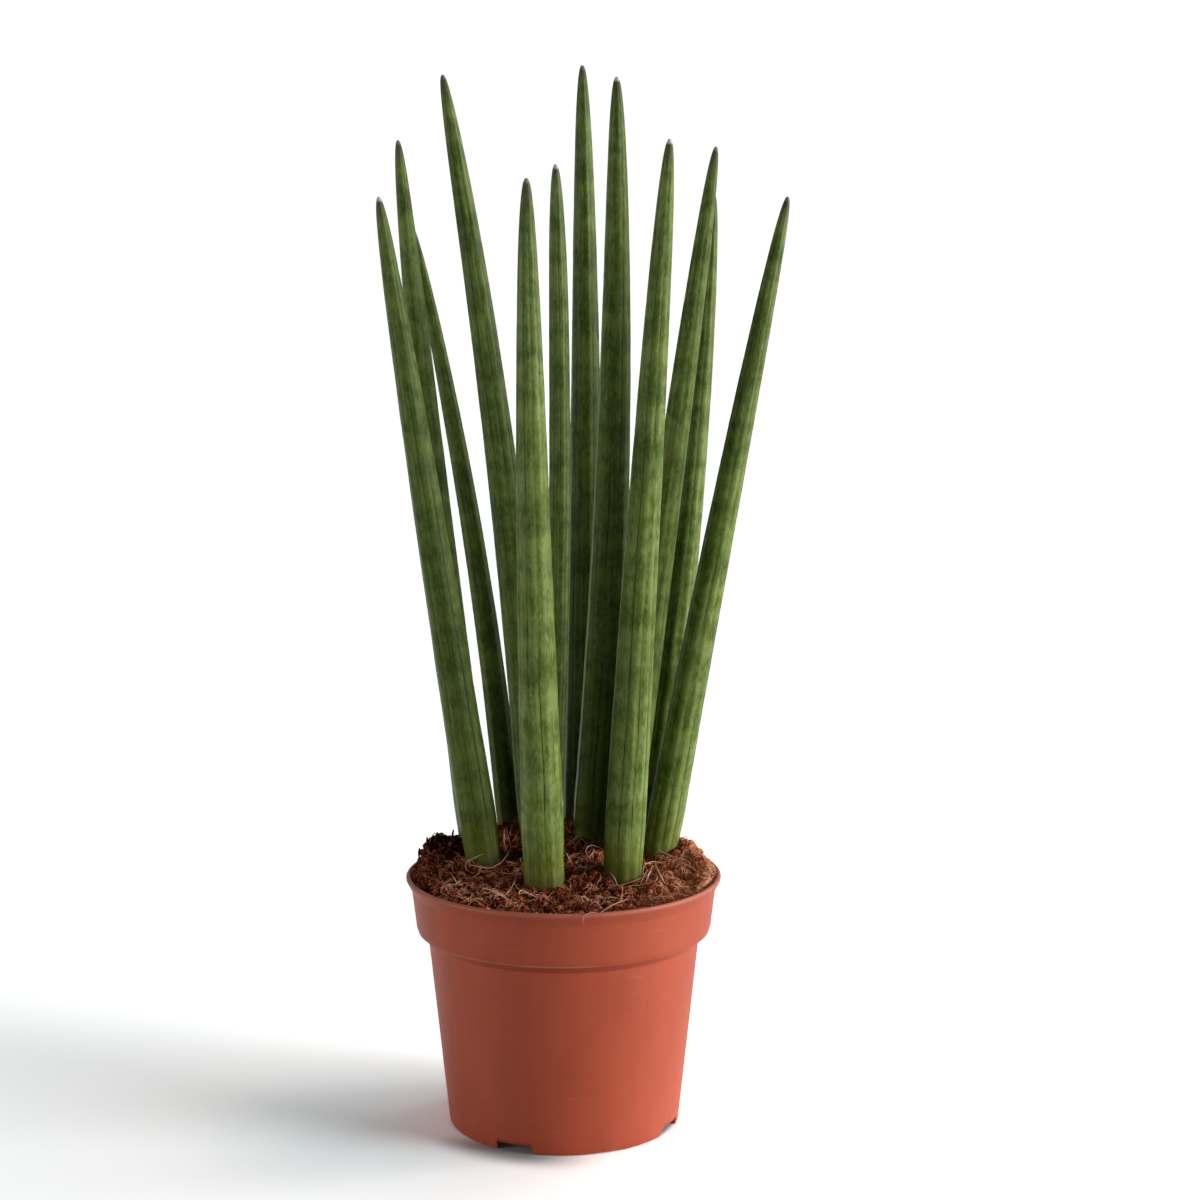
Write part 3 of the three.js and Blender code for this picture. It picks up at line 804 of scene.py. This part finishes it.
def stray(draw, shortest, longest, rise, curliness):
    """A fibre's route: it starts in the coir, wanders over it and dips back in."""
    out = STRAY_CIRCLE * math.sqrt(draw.random())
    angle = draw.uniform(0, 2 * math.pi)
    x, y = out * math.cos(angle), out * math.sin(angle)
    heading = draw.uniform(0, 2 * math.pi)
    curl = draw.uniform(-curliness, curliness)
    length = shortest + (longest - shortest) * draw.random() ** 2
    lift = rise * draw.uniform(0.2, 1)
    route = []
    for k in range(STRAY_STEPS + 1):
        away = by_leaf(x, y, STRAY_CLEAR)
        if away:
            x, y = x + away.x, y + away.y
        far = math.hypot(x, y)
        if far > FIBRE_WALL:
            x, y = x * FIBRE_WALL / far, y * FIBRE_WALL / far
        up = lift * math.sin(math.pi * k / STRAY_STEPS) + draw.uniform(0, 0.5) - 0.2
        if k in (0, STRAY_STEPS):
            up = -END_DEPTH
        route.append((x, y, coir_height(x, y) + up))
        heading += curl + draw.uniform(-STRAY_WANDER, STRAY_WANDER)
        x += math.cos(heading) * length / STRAY_STEPS
        y += math.sin(heading) * length / STRAY_STEPS
    return route


def fibre_finish(name, brown, pale):
    """Dry husk fibre, in a mix of two browns."""
    finish, start = new_finish(name, IOR=1.45, Specular_IOR_Level=0.4)
    place = start.node("ShaderNodeTexCoord", output="Object")
    tones = place.grain(110, 2).ease(0.38, 0.62)
    flecks = place.grain(1500, 2)
    dress(finish, Base_Color=tones.mix(brown, pale), Roughness=0.55 + flecks * 0.2,
          Normal=flecks.bumped(0.1 * MM, 0.4))
    return finish


# The long pale fibres at the front, point by point.
LONG_FIBRES = [
    [(-13.7, -9.5, 102.8), (-15.8, -11.2, 100.8), (-17.8, -19.5, 98.0), (-19.4, -28.2, 96.5),
     (-22.8, -35.1, 94.5)],
    [(-42.6, -9.5, 98.4), (-40.3, -16.0, 97.1), (-37.9, -20.0, 94.6)],
    [(-30.3, 0.6, 102.9), (-33.9, -1.4, 101.7), (-37.0, -1.5, 99.8), (-36.7, -0.8, 96)],
    [(-35.6, 0.3, 98.6), (-31.6, -2.5, 98.5), (-27.1, -1.4, 97.9), (-21.8, 5.5, 100.8),
     (-20.7, 16.3, 102.4)],
    [(-23.4, 26.6, 106.2), (-23.4, 20.7, 103.2), (-22.6, 18.1, 99.9), (-21.3, 16.1, 97.9)],
    [(-17.7, -12.9, 96.3), (-16.5, -28.0, 96.9), (-8.9, -34.0, 95.1), (-5.1, -43.0, 93.6)],
    [(13.8, -5.3, 100.8), (16.0, -9.7, 100.3), (19.1, -17.9, 98.4), (20.9, -19.8, 94.6)],
    [(0.9, 9.7, 101.0), (2.0, 1.8, 100.9), (3.5, 0.2, 98.5)],
    [(8.5, -0.6, 102.3), (9.2, 1.0, 99.0)],
    [(24.8, -33.1, 94.4), (21.8, -40.4, 95.7), (17.8, -44.5, 95.0), (13.1, -50.0, 93.3)],
    [(31.3, 27.1, 102.4), (36.8, 10.2, 101.7), (42.7, 1.7, 100.6), (48.6, -3.2, 98.3),
     (53.8, -5.1, 95.0)],
    [(33.8, -6.3, 100.3), (32.2, -10.8, 98.0), (30.6, -13.9, 94.8)],
    [(34.5, -6.4, 100.3), (36.9, -16.8, 98.0), (39.7, -22.9, 94.2)],
    [(55.4, -0.7, 97.8), (54.8, -10.8, 96.8), (51.5, -19.3, 95.3), (46.9, -23.9, 93.9)],
    [(-31.5, -21.1, 95.9), (-28.2, -27.7, 96.8), (-23.9, -34.6, 97.1), (-20.6, -35.8, 95.2),
     (-18.2, -40.0, 93.2)],
    [(-24.5, -20.6, 94.9), (-21.1, -31.0, 96.2), (-18.1, -33.1, 94.8), (-14.7, -36.2, 92.9)],
]
# Golden ones: one hangs over the lip at the front, the others lie at the foot of the leaves on the
# right.
SHORT_FIBRES = [
    [(17, -54.6, 93.6), (11.5, -58.6, 96.5), (8.3, -60, 95.7), (7.6, -60.1, 93.9),
     (8.2, -60, 92.3)],
    [(31.6, -3, 97.6), (31.5, -8.6, 98.6), (29.7, -14.9, 97.2), (28.2, -19, 95.2)],
    [(33.4, -6, 97.6), (31.2, -12.2, 97.6), (33.6, -16.9, 96.4), (38, -19.4, 95)],
    [(30.5, -10, 97), (28.1, -16.2, 97.4), (22.8, -19.7, 96.4), (17, -19.9, 95.4)],
    [(34.8, -9, 97), (35.2, -14, 96.8), (32, -18.6, 95.4)],
    [(37.2, 9.5, 98.6), (42, 5.5, 99.2), (44.6, 0.2, 98.4), (44.9, -5, 96.6)],
    [(43.8, 12.2, 99), (47.7, 8.8, 99.4), (50.8, 2.6, 97.9), (51.3, -3, 96.4)],
]
# Stiff black ones, thicker than the rest, that stand up out of the clods at the back left. Their
# near-black is partly painted shade.
SPIKES = [
    [(-53, 19.2, 101), (-53.2, 19.2, 103.6), (-53.1, 19.3, 104.8)],
    [(-49.6, 22.6, 102), (-49.2, 22.6, 104.8), (-49.3, 22.6, 106)],
    [(-43.6, 24, 102), (-43.5, 24, 105), (-43.1, 24, 106.6)],
    [(-55.8, 14.4, 97), (-56, 14.4, 99.6), (-55.8, 14.6, 101.6)],
]
# Where pale curls lie thick, at the front left.
CURL_PATCH = (-32, -34)
CURL_REACH = 16
pale_finish = fibre_finish("pale_husk_fibre", (0.6, 0.3, 0.18, 1), (0.95, 0.68, 0.5, 1))
golden_finish = fibre_finish("golden_husk_fibre", (0.5, 0.19, 0.09, 1), (0.85, 0.5, 0.32, 1))
brown_finish = fibre_finish("brown_husk_fibre", (0.37, 0.09, 0.034, 1), (0.82, 0.37, 0.2, 1))
strands("long_fibres", LONG_FIBRES, 0.5, pale_finish)
strands("short_fibres", SHORT_FIBRES, 0.4, golden_finish)
strands("black_spikes", SPIKES, 0.9, clod_and_shade_finish)
fibre_draw = random.Random(29)
stiff = [stray(fibre_draw, 6, 20, rise=2.4, curliness=0.5) for _ in range(80)]
curls = [stray(fibre_draw, 4, 12, rise=2.0, curliness=0.7) for _ in range(900)]
curls = [route for route in curls
         if math.hypot(route[0][0] - CURL_PATCH[0], route[0][1] - CURL_PATCH[1]) < CURL_REACH]
brown = [stray(fibre_draw, 4, 15, rise=1.6, curliness=0.6) for _ in range(500)]
curly = [stray(fibre_draw, 3, 8, rise=1.3, curliness=1.1) for _ in range(1700)]
strands("pale_fibres", stiff, 0.3, pale_finish)
strands("pale_curls", curls, 0.27, golden_finish)
strands("brown_fibres", brown, 0.34, brown_finish)
strands("curly_fibres", curly, 0.26, brown_finish)

# ---- Studio --------------------------------------------------------------------------------------
# A white floor with painted shadow beside and under the pot, a white sky, a large soft light low on
#  the right with weaker ones beside and behind it, on the left and in front, and the camera just
#  below the leaf tips, looking slightly down. None of it belongs to the plant.
CAMERA_PLACE = (0.0058, -0.907, 0.3343)
CAMERA_PITCH = 8.4
CAMERA_LENS = 73.6
CAMERA_SENSOR = 36
FLOOR_SIZE = 40
# The floor as it is seen in the open, then its painted shade beside the pot, and its painted shadow
#  where the least light gets in, under the pot and at the front left of its foot.
FLOOR_SEEN = (2.73, 2.8, 2.8, 1)
FLOOR_PAINTED_SHADE = (2.1, 2.5, 2.55, 1)
FLOOR_PAINTED_SHADOW = (0.7, 0.78, 0.8, 1)
# Where each of them begins and where it is full, in metres: from the shade's middle, outward from
# the pot's axis under the pot, and at its front left outward, across and deep.
SHADE_MIDDLE = (-0.068, -0.012, 0)
SHADE_FADE = (0.1, 0.015)
UNDER_FADE = (0.0445, 0.0415)
CORNER_OUT = (0.06, 0.046)
CORNER_ACROSS = (0.012, -0.022)
CORNER_DEEP = (-0.02, -0.036)
# The grey by which the floor lights the plant, and how much of its seen white a gloss mirrors.
FLOOR_BOUNCE = 0.3
FLOOR_MIRRORED = 0.8
# The sky as it is seen, and the light from it all round and from behind.
BACKDROP_SEEN = 1.05
AMBIENT = 0.015
AMBIENT_BEHIND = 0.5
BEHIND_FADE = (0.4, 0.95)
# Each light's bearing from the front round to the right, its rise and softness in degrees, and
# strength.
LIGHTS = [
    ("key_light", 74, 8, 31, 3.1),
    ("side_light", 101, 14, 24, 1.0),
    ("back_light", 132, 38, 26, 0.3),
    ("left_fill", -70, 4, 36, 1.38),
    ("front_fill", 15, 8, 30, 0.16),
]


def far_from(place, spot):
    """How far a place is from a spot."""
    return place.node("ShaderNodeVectorMath", {"operation": "DISTANCE"}, {0: place, 1: spot},
                      "Value")


floor_mesh = bmesh.new()
bmesh.ops.create_grid(floor_mesh, x_segments=1, y_segments=1, size=FLOOR_SIZE)
floor_finish, floor_start = new_finish("white_floor", Roughness=1, Specular_IOR_Level=0)
seen = (floor_start.node("ShaderNodeLightPath", output="Is Camera Ray")
        + floor_start.node("ShaderNodeLightPath", output="Is Glossy Ray") * FLOOR_MIRRORED)
place = floor_start.node("ShaderNodeTexCoord", output="Object")
across, deep, _ = place.parts()
out = far_from(place, POT_AXIS)
# Painted shadow: the floor's colour is cooler and darker in the shade beside the pot, and darker
# still under the pot and at the front left of its foot.
white = far_from(place, SHADE_MIDDLE).ease(*SHADE_FADE).mix(FLOOR_SEEN, FLOOR_PAINTED_SHADE)
corner = out.ease(*CORNER_OUT) * across.ease(*CORNER_ACROSS) * deep.ease(*CORNER_DEEP)
under = out.ease(*UNDER_FADE)
white = (under + (1 - under) * corner).mix(white, FLOOR_PAINTED_SHADOW)
dress(floor_finish, Base_Color=seen.mix((FLOOR_BOUNCE,) * 3 + (1,), white))
floor = new_piece("floor", floor_mesh, floor_finish)

world = bpy.data.worlds.new("studio")
bpy.context.scene.world = world
world.use_nodes = True
sky = Signal(world.node_tree)
seen = sky.node("ShaderNodeLightPath", output="Is Camera Ray")
back = sky.node("ShaderNodeTexCoord", output="Generated").parts()[1]
ambient = back.ease(*BEHIND_FADE) * AMBIENT_BEHIND + AMBIENT
background = world.node_tree.nodes["Background"]
world.node_tree.links.new((seen * (BACKDROP_SEEN - ambient) + ambient).socket,
                          background.inputs["Strength"])
background.inputs["Color"].default_value = (1, 1, 1, 1)

for name, bearing, rise, softness, strength in LIGHTS:
    lamp = bpy.data.lights.new(name, "SUN")
    lamp.energy = strength
    lamp.angle = math.radians(softness)
    around, up = math.radians(bearing), math.radians(rise)
    away = Vector((math.sin(around) * math.cos(up), -math.cos(around) * math.cos(up), math.sin(up)))
    placed = bpy.data.objects.new(name, lamp)
    placed.rotation_euler = away.to_track_quat("Z", "Y").to_euler()
    bpy.context.scene.collection.objects.link(placed)

camera = bpy.data.cameras.new("camera")
camera.lens = CAMERA_LENS
camera.sensor_width = CAMERA_SENSOR
viewer = bpy.data.objects.new("camera", camera)
viewer.location = CAMERA_PLACE
viewer.rotation_euler = (math.radians(90 - CAMERA_PITCH), 0, 0)
bpy.context.scene.collection.objects.link(viewer)
bpy.context.scene.camera = viewer
bpy.context.scene.view_settings.view_transform = "Standard"
